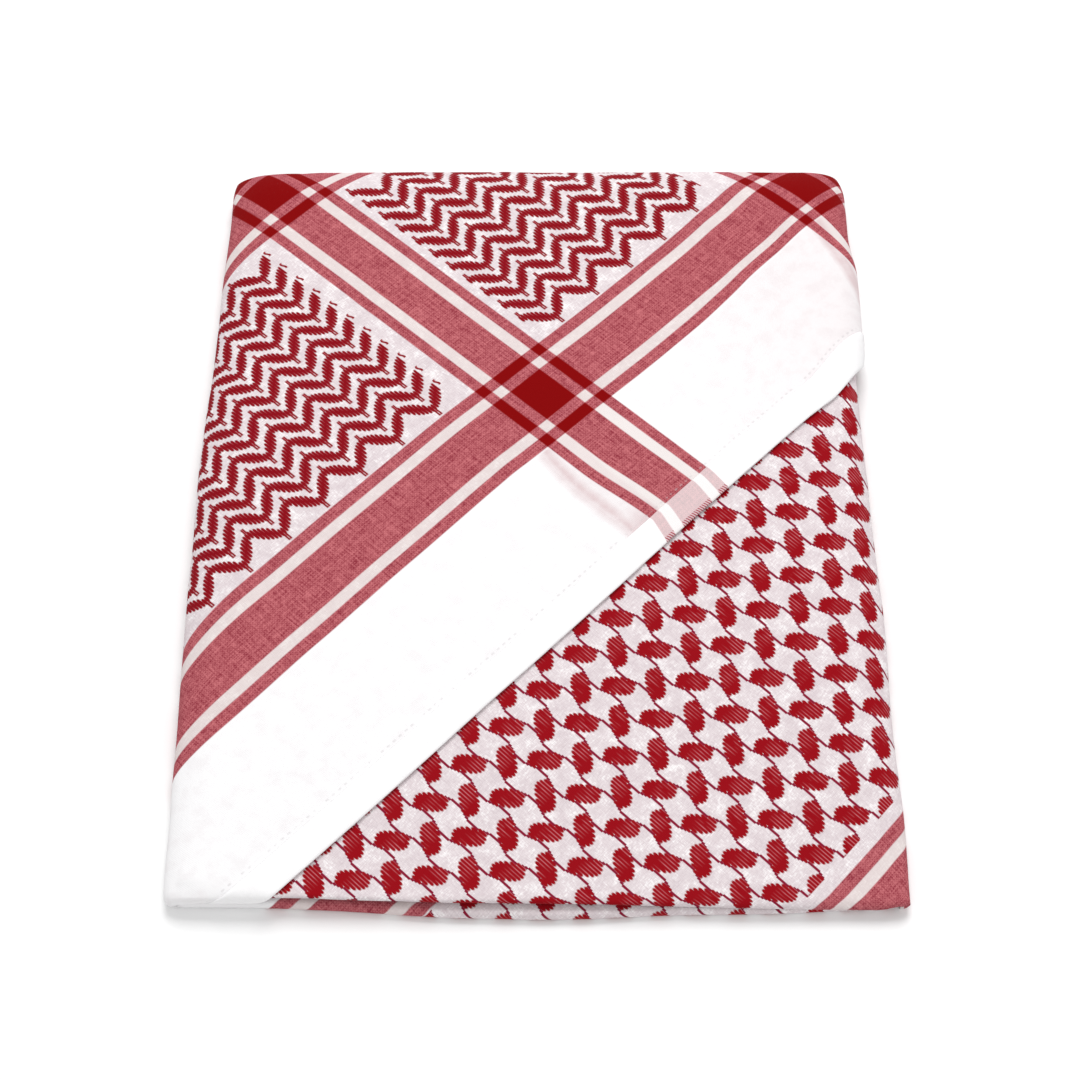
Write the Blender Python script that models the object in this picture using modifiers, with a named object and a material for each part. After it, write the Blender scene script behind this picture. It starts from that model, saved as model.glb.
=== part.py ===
"""A square woven headscarf, folded on its diagonal, then wound flat into a bundle that lies on a table.

The bundle is made of the stretches of cloth that show and of one solid for the folds between them:
hidden_folds   the wound plies inside, with their folded edges at the back
under_panel    the stretch that the bundle lies on
lower_panel    the last turn but one: over the top, and round the right side to the floor
front_ply      a fold that looks out below the front edge of the lower panel
top_flap       the last turn: up round the left side, over the top, and down the right side behind
flap_hem       the hem of the top flap, turned up on to its face

Metres, +Z up. The front is at -Y, and the origin is on the floor under the middle.
"""

import math

import bmesh
import bpy
from mathutils import Vector

# Driving dimensions
WIDTH = 0.254
DEPTH = 0.312
MIDDLE_THICK = 0.0200
FRONT_THICK_LEFT = 0.0110
FRONT_THICK_RIGHT = 0.0085
BACK_THICK = 0.0135
PLY = 0.0012
HEM_PLY = 0.0010
GAP = 0.0003
HEM_WIDTH = 0.0130

# The hem crosses the front edge here, and runs to the right and away at 45 degrees
HEM_AT_FRONT = -0.0880
# The flap's right end and its hem stop this far short of the foot, just over the floor
FOOT_END = 0.0060

# Plan: both sides draw in a little towards the back, the right one earlier
LEFT_TAPER = 0.0030
LEFT_TAPER_FROM = 0.0
LEFT_TAPER_OVER = 0.10
RIGHT_TAPER = 0.0035
RIGHT_TAPER_FROM = -0.06
RIGHT_TAPER_OVER = 0.12
CORNER = 0.012
CORNER_IN = 0.0016

# Shape of the top: it rises from the front over this length, and rounds down at both ends
RISE = 0.200
FRONT_ROUND = 0.0040
FRONT_DROP = 0.0016
BACK_ROUND = 0.020
BACK_POWER = 2.2
SWELL = 0.0004
SWELL_ACROSS = 38
SWELL_ALONG = 31

# Shape of the sides: where they are widest, and how slowly each one levels out
WIDEST_AT = 0.42
TIGHTEST = 0.50
LEFT_SOFT = 6.0
RIGHT_SOFT_FRONT = 2.0
RIGHT_SOFT_BACK = 5.0

# Depths of the layers under the topmost face
LAYER = PLY + GAP
FRONT = -DEPTH / 2
BACK = DEPTH / 2
LEFT = -WIDTH / 2
RIGHT = WIDTH / 2

# The front fold, and the ends of the hidden folds
PLY_FRONT = FRONT + 0.0045
PANEL_FRONT = FRONT + 0.0015
FRONT_BULGE_LEFT = 0.0039
FRONT_BULGE_RIGHT = 0.0020
BULGE_CHANGE_FROM = -0.037
BULGE_CHANGE_OVER = 0.12
END_BULGE = 0.0022
PLY_AHEAD = 0.0009
END_ROUND = 0.0060
LEAST_HEIGHT = 0.0034
FOLD_RINGS = 3
FOLD_STEPS = 4
FOLD_DEPTH = 0.0012
CORE_CAP = 0.90
CORE_BACK = 0.0030
LOWER_BACK = 0.0008
UNDER_FRONT = 0.0020
UNDER_BACK = 0.0010
LOWER_START = 0.0040

# Points round a section, and the grid of each cloth
SIDE_STEPS = 10
FOOT_STEPS = 6
TOP_STEPS = 24
PATH_STEPS = 200
NORMAL_STEP = 0.0015
MERGE = 0.0003
CUT_REACH = 1e-5
FOOT_COLUMNS = 5
LEFT_COLUMNS = 9
TOP_COLUMNS = 12
RIGHT_COLUMNS = 8
FRONT_ROWS = 3
TOP_ROWS = 14
BACK_ROWS = 6
TURN_STEPS = 12
PLY_RUNS = 14
CORE_SIDE = 7
CORE_FOOT = 4
CORE_TOP = 12


def clamp(value):
    return min(1.0, max(0.0, value))


def ease(value):
    value = clamp(value)
    return value * value * (3 - 2 * value)


def mix(low, high, share):
    return low + (high - low) * share


def thickness(x, y):
    """Height of the topmost face over the floor, away from the sides."""
    across = clamp((x - LEFT) / WIDTH)
    front = mix(FRONT_THICK_LEFT, FRONT_THICK_RIGHT, across)
    rise = math.sin(math.pi / 2 * clamp((y - FRONT) / RISE))
    top = mix(front, MIDDLE_THICK, rise)
    fall = clamp((y - BACK + BACK_ROUND) / BACK_ROUND)
    dip = clamp((FRONT + FRONT_ROUND - y) / FRONT_ROUND)
    swell = SWELL * math.sin(x * SWELL_ACROSS + 0.6) * math.sin(y * SWELL_ALONG + 1.1) * (1 - fall)
    return top + swell * rise - (MIDDLE_THICK - BACK_THICK) * fall**BACK_POWER - FRONT_DROP * dip**2


def edges(y):
    """Where the left and right sides of the cloth are widest, at depth y."""
    corner = CORNER_IN * clamp((y - BACK + CORNER) / CORNER) ** 2
    left = LEFT + LEFT_TAPER * ease((y - LEFT_TAPER_FROM) / LEFT_TAPER_OVER) + corner
    right = RIGHT - RIGHT_TAPER * ease((y - RIGHT_TAPER_FROM) / RIGHT_TAPER_OVER) - corner
    return left, right


def side_curve(height, soft):
    """Steps (inwards, up) from the widest point of a side to its level top, as the bend grows slack."""
    points = [(0.0, 0.0)]
    slack = (1 - TIGHTEST) * (soft + 1)
    for step in range(SIDE_STEPS):
        angle = math.pi / 2 * (1 - (step + 0.5) / SIDE_STEPS)
        bend = (TIGHTEST + slack * math.cos(angle) ** soft) * math.pi / 2 / SIDE_STEPS
        inwards, up = points[-1]
        points.append((inwards + bend * math.cos(angle), up + bend * math.sin(angle)))
    top = points[-1][1]
    return [(height * inwards / top, height * up / top) for inwards, up in points]


def foot_curve(height):
    """Steps (inwards, up) from the floor to the widest point of a side."""
    angles = [math.pi / 2 * step / FOOT_STEPS for step in range(FOOT_STEPS)]
    return [(height * (1 - math.sin(a)), height * (1 - math.cos(a))) for a in angles]


def section(y):
    """Points (x, z) across the bundle at depth y, from its left foot over the top to its right foot."""
    right_soft = mix(RIGHT_SOFT_FRONT, RIGHT_SOFT_BACK, ease((y - FRONT) / DEPTH))
    left_top, right_top = thickness(LEFT, y), thickness(RIGHT, y)
    sides = []
    for top, soft in ((left_top, LEFT_SOFT), (right_top, right_soft)):
        widest = WIDEST_AT * top
        upper = [(inwards, widest + up) for inwards, up in side_curve(top - widest, soft)]
        sides.append(foot_curve(widest) + upper)
    left_edge, right_edge = edges(y)
    left = [(left_edge + inwards, up) for inwards, up in sides[0]]
    right = [(right_edge - inwards, up) for inwards, up in reversed(sides[1])]
    start, end = left[-1][0], right[0][0]
    top = []
    for step in range(1, TOP_STEPS):
        x = mix(start, end, step / TOP_STEPS)
        # The sides keep their own heights, so the top meets each of them level
        blend = ease((x - start) / (end - start))
        level = mix(thickness(start, y) - left_top, thickness(end, y) - right_top, blend)
        top.append((x, thickness(x, y) - level))
    return left + top + right


class Wrap:
    """The topmost face as cloth: a runs round the section from the middle, b runs front to back."""

    def __init__(self):
        self.sections = {}
        self.path = [(0.0, 0.0)]
        for side in (-1, 1):
            length, before = 0.0, (0.0, thickness(0, 0))
            for step in range(1, PATH_STEPS + 1):
                y = side * DEPTH / 2 * step / PATH_STEPS
                here = (y, thickness(0, y))
                length += math.dist(before, here)
                self.path.append((side * length, y))
                before = here
        self.path.sort()

    def depth(self, b):
        """The y of the cloth's row b."""
        return interpolate(self.path, b)

    def row(self, y):
        key = round(y, 6)
        if key not in self.sections:
            points = section(y)
            lengths = [0.0]
            for before, here in zip(points, points[1:]):
                lengths.append(lengths[-1] + math.dist(before, here))
            upper = zip(points[FOOT_STEPS:-FOOT_STEPS], lengths[FOOT_STEPS:-FOOT_STEPS])
            middle = interpolate([(p[0], s) for p, s in upper], 0.0)
            self.sections[key] = [(s - middle, p) for s, p in zip(lengths, points)]
        return self.sections[key]

    def reach(self, b):
        """The cloth coordinates of the left and right feet of row b."""
        row = self.row(self.depth(b))
        return row[0][0], row[-1][0]

    def place(self, a, b):
        y = self.depth(b)
        row = self.row(y)
        x = interpolate([(s, p[0]) for s, p in row], a)
        z = interpolate([(s, p[1]) for s, p in row], a)
        return Vector((x, y, z))

    def normal(self, a, b):
        low, high = self.reach(b)
        left = max(low, a - NORMAL_STEP)
        right = min(high, a + NORMAL_STEP)
        front = max(self.path[0][0], b - NORMAL_STEP)
        back = min(self.path[-1][0], b + NORMAL_STEP)
        across = self.place(right, b) - self.place(left, b)
        behind = self.place(clamp_to(a, self.reach(back)), back)
        ahead = self.place(clamp_to(a, self.reach(front)), front)
        return across.cross(behind - ahead).normalized()

    def inside(self, a, b, depth):
        """A point that far under the topmost face."""
        return self.place(a, b) - self.normal(a, b) * depth


def clamp_to(value, limits):
    return min(limits[1], max(limits[0], value))


def interpolate(table, key):
    """Value at key in a sorted table of (key, value) pairs, carried on in a line past its ends."""
    low, high = 0, len(table) - 1
    while high - low > 1:
        middle = (low + high) // 2
        if table[middle][0] <= key:
            low = middle
        else:
            high = middle
    (k0, v0), (k1, v1) = table[low], table[high]
    return v0 + (v1 - v0) * (key - k0) / (k1 - k0)


WRAP = Wrap()
B_FRONT = WRAP.path[0][0]
B_BACK = WRAP.path[-1][0]


def side_start(side, y):
    """Cloth coordinates at which a side's bend starts and at which it is widest."""
    row = WRAP.row(y)
    if side < 0:
        return row[FOOT_STEPS + SIDE_STEPS][0], row[FOOT_STEPS][0]
    return row[-1 - FOOT_STEPS - SIDE_STEPS][0], row[-1 - FOOT_STEPS][0]


def right_shift(a, b):
    """On the right side the lower panel is the outer turn, so every layer there lies one layer further out."""
    start, widest = side_start(1, WRAP.depth(b))
    return LAYER * ease((a - start) / (widest - start))


def left_shift(a, b):
    """The lower panel ends before the left side's bend, and the hidden folds fill its place there."""
    start, widest = side_start(-1, WRAP.depth(b))
    return LAYER * (1 - ease((a - widest) / (start - widest)))


def core_depth(a, b):
    return 2 * LAYER - left_shift(a, b) - right_shift(a, b)


def material(name, color, roughness):
    made = bpy.data.materials.new(name)
    made.use_nodes = True
    shader = made.node_tree.nodes["Principled BSDF"]
    shader.inputs["Base Color"].default_value = (*color, 1.0)
    shader.inputs["Roughness"].default_value = roughness
    shader.inputs["Metallic"].default_value = 0.0
    return made


def add_object(name, mesh, finish, collection):
    mesh.materials.append(finish)
    mesh.shade_smooth()
    made = bpy.data.objects.new(name, mesh)
    collection.objects.link(made)
    return made


def cloth_mesh(name, columns, rows, cuts, place):
    """A flat grid in cloth coordinates, cut along straight lines, then laid in place."""
    bm = bmesh.new()
    bmesh.ops.create_grid(bm, x_segments=len(columns) - 1, y_segments=len(rows) - 1, size=1)
    for v in bm.verts:
        column = round((v.co.x + 1) / 2 * (len(columns) - 1))
        row = round((v.co.y + 1) / 2 * (len(rows) - 1))
        v.co = (columns[column], rows[row], 0)
    for point, outwards in cuts:
        geometry = bm.verts[:] + bm.edges[:] + bm.faces[:]
        bmesh.ops.bisect_plane(
            bm, geom=geometry, dist=CUT_REACH, plane_co=point, plane_no=outwards, clear_outer=True
        )
    bmesh.ops.remove_doubles(bm, verts=bm.verts[:], dist=MERGE)
    for v in bm.verts:
        v.co = place(v.co.x, v.co.y)
    mesh = bpy.data.meshes.new(name)
    bm.to_mesh(mesh)
    bm.free()
    return mesh


def add_wall(made, thick, offset=-1):
    wall = made.modifiers.new("Wall", "SOLIDIFY")
    wall.thickness = thick
    wall.offset = offset
    return made


def spread(start, end, count):
    return [mix(start, end, step / count) for step in range(count + 1)]


def cloth_columns(left, right):
    """Columns close together on the sides' bends and wide apart on the top."""
    start_left, widest_left = side_start(-1, 0)
    start_right, widest_right = side_start(1, 0)
    foot_left, foot_right = WRAP.reach(0)
    stops = spread(foot_left, widest_left, FOOT_COLUMNS)[:-1]
    stops += spread(widest_left, start_left, LEFT_COLUMNS)[:-1]
    stops += spread(start_left, start_right, TOP_COLUMNS)[:-1]
    stops += spread(start_right, widest_right, RIGHT_COLUMNS)[:-1]
    stops += spread(widest_right, foot_right, FOOT_COLUMNS)
    inner = [a for a in stops if left + NORMAL_STEP / 2 < a < right - NORMAL_STEP / 2]
    return [left] + inner + [right]


def cloth_rows(front, back):
    stops = spread(B_FRONT, B_FRONT + FRONT_ROUND, FRONT_ROWS)[:-1]
    stops += spread(B_FRONT + FRONT_ROUND, B_BACK - BACK_ROUND, TOP_ROWS)[:-1]
    stops += spread(B_BACK - BACK_ROUND, B_BACK, BACK_ROWS)
    inner = [b for b in stops if front + NORMAL_STEP / 2 < b < back - NORMAL_STEP / 2]
    return [front] + inner + [back]


def fitted(a, b):
    """A foot's column follows the foot where the bundle is thinner."""
    low, high = WRAP.reach(b)
    low_middle, high_middle = WRAP.reach(0)
    start_left = side_start(-1, WRAP.depth(b))[0]
    start_right = side_start(1, WRAP.depth(b))[0]
    first, last = side_start(-1, 0)[0], side_start(1, 0)[0]
    if a < first:
        return mix(low, start_left, (a - low_middle) / (first - low_middle))
    if a > last:
        return mix(start_right, high, (a - last) / (high_middle - last))
    return mix(start_left, start_right, (a - first) / (last - first))


def hem_cut(inwards=0.0, keep_outer=False):
    """The line of the hem, or one beside it, in cloth coordinates."""
    across = Vector((1, -1, 0)).normalized()
    point = Vector((HEM_AT_FRONT, B_FRONT, 0)) - across * inwards
    return point, -across if keep_outer else across


def make_top_flap(collection, finish):
    foot_left, foot_right = WRAP.reach(0)
    columns = cloth_columns(foot_left, foot_right - FOOT_END)
    rows = cloth_rows(B_FRONT, B_BACK)

    def place(a, b):
        at = fitted(a, b)
        return WRAP.inside(at, b, -right_shift(at, b))

    mesh = cloth_mesh("top_flap", columns, rows, [hem_cut()], place)
    return add_wall(add_object("top_flap", mesh, finish, collection), PLY)


def make_flap_hem(collection, finish):
    foot_left, foot_right = WRAP.reach(0)
    columns = cloth_columns(foot_left, foot_right - FOOT_END)
    rows = cloth_rows(B_FRONT, B_BACK)
    raised = GAP + HEM_PLY

    def place(a, b):
        at = fitted(a, b)
        return WRAP.inside(at, b, -right_shift(at, b) - raised)

    cuts = [hem_cut(), hem_cut(HEM_WIDTH, keep_outer=True)]
    mesh = cloth_mesh("flap_hem", columns, rows, cuts, place)
    return add_wall(add_object("flap_hem", mesh, finish, collection), HEM_PLY)


def make_lower_panel(collection, finish):
    start_left = side_start(-1, 0)[0]
    foot_right = WRAP.reach(0)[1]
    columns = cloth_columns(start_left + LOWER_START, foot_right)
    rows = cloth_rows(B_FRONT + PANEL_FRONT - FRONT, B_BACK - LOWER_BACK)

    def place(a, b):
        at = fitted(a, b)
        return WRAP.inside(at, b, LAYER - right_shift(at, b))

    mesh = cloth_mesh("lower_panel", columns, rows, [], place)
    return add_wall(add_object("lower_panel", mesh, finish, collection), PLY)


def make_under_panel(collection, finish):
    """The stretch on the floor, between the feet of the two sides."""
    columns = spread(0, 1, TOP_COLUMNS)
    rows = cloth_rows(B_FRONT + PLY_FRONT - FRONT + UNDER_FRONT, B_BACK - UNDER_BACK)

    def place(share, b):
        y = WRAP.depth(b)
        row = WRAP.row(y)
        left, right = row[0][1][0] + GAP, row[-1][1][0] - GAP
        return Vector((mix(left, right, share), y, 0))

    mesh = cloth_mesh("under_panel", columns, rows, [], place)
    return add_wall(add_object("under_panel", mesh, finish, collection), PLY, offset=1)


def front_room():
    """Stations (x, bottom, top) of the room between the outer turns behind the front edge, side to side."""
    b = B_FRONT + PLY_FRONT - FRONT
    low, high = WRAP.reach(b)
    start_left, widest_left = side_start(-1, PLY_FRONT)
    start_right, widest_right = side_start(1, PLY_FRONT)
    stops = spread(widest_left, start_left, LEFT_COLUMNS)[:-1]
    stops += spread(start_left, start_right, PLY_RUNS)[:-1]
    stops += spread(start_right, widest_right, RIGHT_COLUMNS)

    def inner(a):
        return WRAP.inside(a, b, core_depth(a, b) + GAP)

    left_foot = [inner(a) for a in reversed(spread(low, widest_left, FOOT_COLUMNS))]
    right_foot = [inner(a) for a in reversed(spread(widest_right, high, FOOT_COLUMNS))]
    room = []
    for at in (inner(a) for a in stops):
        bottom = 0.0
        if at.x < left_foot[-1].x:
            bottom = interpolate([(p.x, p.z) for p in left_foot], at.x)
        elif at.x > right_foot[0].x:
            bottom = interpolate([(p.x, p.z) for p in right_foot], at.x)
        if at.z - bottom > LEAST_HEIGHT:
            room.append((at.x, bottom, at.z))
    return room


def make_front_ply(collection, finish):
    """A fold that stands out in front: half an oval in section, from under the lower panel to the floor."""
    room = front_room()
    turn = spread(0, math.pi, TURN_STEPS)

    def place(column, angle):
        x, bottom, top = room[round(column)]
        bulge = mix(FRONT_BULGE_LEFT, FRONT_BULGE_RIGHT, ease((x - BULGE_CHANGE_FROM) / BULGE_CHANGE_OVER))
        from_end = min(x - room[0][0], room[-1][0] - x)
        bulge = mix(END_BULGE, bulge, math.sqrt(1 - (1 - clamp(from_end / END_ROUND)) ** 2))
        y = PLY_FRONT - PLY_AHEAD - bulge * math.sin(angle)
        return Vector((x, y, mix(bottom, top, (1 - math.cos(angle)) / 2)))

    mesh = cloth_mesh("front_ply", [float(at) for at in range(len(room))], turn, [], place)
    return add_wall(add_object("front_ply", mesh, finish, collection), PLY)


def core_ring(y, share=0.0, shift=0.0):
    """A closed ring of the hidden folds at depth y, shrunk towards their middle by a share."""
    b = interpolate([(depth, along) for along, depth in WRAP.path], y)
    low, high = WRAP.reach(b)
    start_left, widest_left = side_start(-1, y)
    start_right, widest_right = side_start(1, y)
    stops = spread(low, widest_left, CORE_FOOT)[:-1] + spread(widest_left, start_left, CORE_SIDE)[:-1]
    stops += spread(start_left, start_right, CORE_TOP)[:-1]
    stops += spread(start_right, widest_right, CORE_SIDE)[:-1] + spread(widest_right, high, CORE_FOOT)
    points = [WRAP.inside(a, b, core_depth(a, b)) for a in stops]
    left, right = points[0].x, points[-1].x
    points += [Vector((mix(right, left, step / CORE_TOP), y, LAYER)) for step in range(1, CORE_TOP)]
    middle = (max(p.z for p in points) + LAYER) / 2
    ring = []
    for p in points:
        spine = Vector((clamp_to(p.x, (left, right)), p.y, middle))
        moved = p.lerp(spine, share)
        ring.append(Vector((moved.x, moved.y + shift, moved.z)))
    return ring


def make_hidden_folds(collection, finish):
    rings = []
    for b in cloth_rows(B_FRONT + PLY_FRONT - FRONT, B_BACK - CORE_BACK):
        rings.append(core_ring(WRAP.depth(b)))
    # Back: the folded edges of the inner turns, one in another
    last = rings[-1][0].y
    for fold in range(FOLD_RINGS):
        for step in range(1, FOLD_STEPS + 1):
            share = CORE_CAP * (fold + step / FOLD_STEPS) / FOLD_RINGS
            out = FOLD_DEPTH * math.sin(math.pi * step / FOLD_STEPS)
            rings.append(core_ring(last, share, out))
    bm = bmesh.new()
    made = [[bm.verts.new(p) for p in ring] for ring in rings]
    for before, here in zip(made, made[1:]):
        size = len(here)
        for at in range(size):
            after = (at + 1) % size
            bm.faces.new((before[at], before[after], here[after], here[at]))
    bm.faces.new(reversed(made[0]))
    bm.faces.new(made[-1])
    bmesh.ops.recalc_face_normals(bm, faces=bm.faces[:])
    mesh = bpy.data.meshes.new("hidden_folds")
    bm.to_mesh(mesh)
    bm.free()
    return add_object("hidden_folds", mesh, finish, collection)


def main():
    for old in list(bpy.data.objects):
        bpy.data.objects.remove(old, do_unlink=True)
    collection = bpy.data.collections.new("folded_headscarf")
    bpy.context.scene.collection.children.link(collection)
    net = material("net_weave", (0.70, 0.36, 0.38), 0.9)
    margin = material("white_margin", (0.86, 0.85, 0.86), 0.9)
    band = material("band_weave", (0.52, 0.12, 0.15), 0.9)
    make_hidden_folds(collection, net)
    make_under_panel(collection, net)
    make_lower_panel(collection, net)
    make_front_ply(collection, band)
    make_top_flap(collection, band)
    make_flap_hem(collection, margin)


main()
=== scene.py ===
"""Looks of a square woven headscarf, folded on its diagonal and wound into a flat bundle on a table.

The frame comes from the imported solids. Each stretch of cloth that shows is a thin shell on the same
form, with its own folds, and every shell carries the cloth's coordinates in a UV map, in pitches of
the net, so that one set of weave, stripe, leaf and net patterns colours them all.
"""

import bisect
import math

import bmesh
import bpy
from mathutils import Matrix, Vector, noise


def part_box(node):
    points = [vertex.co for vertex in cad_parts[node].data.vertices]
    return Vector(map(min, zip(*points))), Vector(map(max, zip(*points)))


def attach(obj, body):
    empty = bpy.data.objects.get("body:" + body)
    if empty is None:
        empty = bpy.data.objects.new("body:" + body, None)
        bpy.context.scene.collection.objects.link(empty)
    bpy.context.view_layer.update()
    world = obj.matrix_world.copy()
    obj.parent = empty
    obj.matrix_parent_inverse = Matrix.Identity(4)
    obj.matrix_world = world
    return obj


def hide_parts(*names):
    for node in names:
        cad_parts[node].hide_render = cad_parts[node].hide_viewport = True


bl_info = {
    "name": "Folded headscarf",
    "version": (1, 0, 0),
    "blender": (4, 5, 0),
    "location": "3D View > Sidebar > Headscarf",
    "description": "A square woven headscarf, folded and wound into a flat bundle",
    "category": "Object",
}

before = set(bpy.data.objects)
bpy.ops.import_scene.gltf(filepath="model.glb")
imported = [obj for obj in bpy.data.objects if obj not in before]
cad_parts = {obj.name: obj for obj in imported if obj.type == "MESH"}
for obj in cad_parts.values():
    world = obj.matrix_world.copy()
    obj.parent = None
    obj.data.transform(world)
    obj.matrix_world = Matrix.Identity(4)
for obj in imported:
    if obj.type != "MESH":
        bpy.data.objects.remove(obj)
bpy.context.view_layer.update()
FLAP_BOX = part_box("top_flap")
PANEL_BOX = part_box("lower_panel")

MM = 0.001
PITCH = 13.3 * MM
LEFT, RIGHT = FLAP_BOX[0][0], PANEL_BOX[1][0]
WIDTH = RIGHT - LEFT
BACK = FLAP_BOX[1][1] - 0.5 * MM
FRONT = -BACK
DEPTH = BACK - FRONT

# The solids' form: heights of the topmost face, and how the sides bend
MIDDLE_THICK = 20.0 * MM
FRONT_THICK_LEFT = 11.0 * MM
FRONT_THICK_RIGHT = 8.5 * MM
BACK_THICK = 13.5 * MM
PLY = 1.2 * MM
GAP = 0.3 * MM
LAYER = PLY + GAP
# How far each side is drawn in, from which depth, and over how long a run; the first on the right
# is let out towards the front
LEFT_TAPERS = ((3.0 * MM, 0.0, 100 * MM), (1.2 * MM, 92 * MM, 42 * MM))
RIGHT_TAPERS = ((-1.6 * MM, FRONT + 75 * MM, -60 * MM), (2.9 * MM, -60 * MM, 120 * MM))
CORNER = 12 * MM
LEFT_CORNER_IN = 1.6 * MM
RIGHT_CORNER_IN = 2.4 * MM
RISE = 200 * MM
FRONT_ROUND = 4.0 * MM
FRONT_DROP = 1.6 * MM
BACK_ROUND = 20 * MM
BACK_POWER = 2.2
SWELL = 0.4 * MM
SWELL_ACROSS, SWELL_ACROSS_FROM = 38, 0.6
SWELL_ALONG, SWELL_ALONG_FROM = 31, 1.1
WIDEST_AT = 0.42
TIGHTEST = 0.50
LEFT_SOFT = 6.0
RIGHT_SOFT_FRONT = 2.0
RIGHT_SOFT_BACK = 5.0
SIDE_STEPS = 16
FOOT_STEPS = 8
TOP_STEPS = 40
PATH_STEPS = 300
NORMAL_STEP = 1.5 * MM

# The hem crosses the front edge here, and runs right and away at 45 degrees, drawn in at its middle
HEM_AT_FRONT = -88 * MM
HEM_WIDTH = 12.6 * MM
HEM_DRAWN = -2.1 * MM
HEM_OUT = 4.0 * MM
HEM_MIDDLE = -35.8 * MM
HEM_HALF = 130 * MM
HEM_GIVE = 70 * MM
HEM_SETTLES = 24 * MM
HEM_DOWN = 0.35 * MM
# Near the right side it lifts, and the flap stands a little off the side there
HEM_LIFTED = 4.6 * MM
LIFTED_FROM, LIFTED_OVER = 108 * MM, 34 * MM
FLAP_LOOSE = 2.6 * MM
LOOSE_FROM, LOOSE_TO = 46 * MM, 126 * MM
LOOSE_GROWS, LOOSE_FADES = 28 * MM, 22 * MM
FOOT_END = 6 * MM
ABOVE_FLOOR = 0.1 * MM

# The camera: a long lens, looking down at the bundle
CAMERA_X = 1.8 * MM
CAMERA_Y = -401.8 * MM
CAMERA_Z = 709.5 * MM
LOOK_DOWN = math.radians(61)
LENS = 72

# The light: an even white room, a soft lamp from behind and a weaker one from the front
FLOOR_COLOR = (0.885, 0.885, 0.885, 1)
WORLD_LIGHT = 0.63
LIGHTS = (("key", (0.10, 1.10, 1.80), 1.10, 29.0), ("fill", (0.2, -0.7, 1.2), 1.2, 3.6))


def clamp(value):
    return min(1.0, max(0.0, value))


def ease(value):
    value = clamp(value)
    return value * value * (3 - 2 * value)


def mix(low, high, share):
    return low + (high - low) * share


def spread(start, end, count):
    return [mix(start, end, step / count) for step in range(count + 1)]


def read(keys, values, key):
    """Value at key between sorted keys, carried on in a line past the ends."""
    at = min(len(keys) - 2, max(0, bisect.bisect_right(keys, key) - 1))
    low, high = keys[at], keys[at + 1]
    return values[at] + (values[at + 1] - values[at]) * (key - low) / (high - low)


def thickness(x, y):
    """Height of the topmost face over the floor, away from the sides."""
    across = clamp((x - LEFT) / WIDTH)
    front = mix(FRONT_THICK_LEFT, FRONT_THICK_RIGHT, across)
    rise = math.sin(math.pi / 2 * clamp((y - FRONT) / RISE))
    top = mix(front, MIDDLE_THICK, rise)
    fall = clamp((y - BACK + BACK_ROUND) / BACK_ROUND)
    dip = clamp((FRONT + FRONT_ROUND - y) / FRONT_ROUND)
    wave = math.sin(x * SWELL_ACROSS + SWELL_ACROSS_FROM)
    swell = SWELL * wave * math.sin(y * SWELL_ALONG + SWELL_ALONG_FROM) * (1 - fall)
    return top + swell * rise - (MIDDLE_THICK - BACK_THICK) * fall**BACK_POWER - FRONT_DROP * dip**2


def edges(y):
    """Where the left and right sides of the cloth are widest, at depth y."""
    corner = clamp((y - BACK + CORNER) / CORNER) ** 2
    left = LEFT + LEFT_CORNER_IN * corner
    for drawn, start, over in LEFT_TAPERS:
        left += drawn * ease((y - start) / over)
    right = RIGHT - RIGHT_CORNER_IN * corner
    for drawn, start, over in RIGHT_TAPERS:
        right -= drawn * ease((y - start) / over)
    return left, right


def side_curve(height, soft):
    """Steps (inwards, up) from a side's widest point to its level top, as the bend grows slack."""
    points = [(0.0, 0.0)]
    slack = (1 - TIGHTEST) * (soft + 1)
    for step in range(SIDE_STEPS):
        angle = math.pi / 2 * (1 - (step + 0.5) / SIDE_STEPS)
        bend = (TIGHTEST + slack * math.cos(angle) ** soft) * math.pi / 2 / SIDE_STEPS
        inwards, up = points[-1]
        points.append((inwards + bend * math.cos(angle), up + bend * math.sin(angle)))
    top = points[-1][1]
    return [(height * inwards / top, height * up / top) for inwards, up in points]


def foot_curve(height):
    """Steps (inwards, up) from the floor to the widest point of a side."""
    angles = [math.pi / 2 * step / FOOT_STEPS for step in range(FOOT_STEPS)]
    return [(height * (1 - math.sin(a)), height * (1 - math.cos(a))) for a in angles]


def section(y):
    """Points (x, z) across the bundle at depth y, from its left foot over the top to its right foot."""
    right_soft = mix(RIGHT_SOFT_FRONT, RIGHT_SOFT_BACK, ease((y - FRONT) / DEPTH))
    left_top, right_top = thickness(LEFT, y), thickness(RIGHT, y)
    sides = []
    for top, soft in ((left_top, LEFT_SOFT), (right_top, right_soft)):
        widest = WIDEST_AT * top
        upper = [(inwards, widest + up) for inwards, up in side_curve(top - widest, soft)]
        sides.append(foot_curve(widest) + upper)
    left_edge, right_edge = edges(y)
    left = [(left_edge + inwards, up) for inwards, up in sides[0]]
    right = [(right_edge - inwards, up) for inwards, up in reversed(sides[1])]
    start, end = left[-1][0], right[0][0]
    top = []
    for step in range(1, TOP_STEPS):
        x = mix(start, end, step / TOP_STEPS)
        # The sides keep their own heights, so the top meets each of them level
        blend = ease((x - start) / (end - start))
        level = mix(thickness(start, y) - left_top, thickness(end, y) - right_top, blend)
        top.append((x, thickness(x, y) - level))
    return left + top + right


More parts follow.
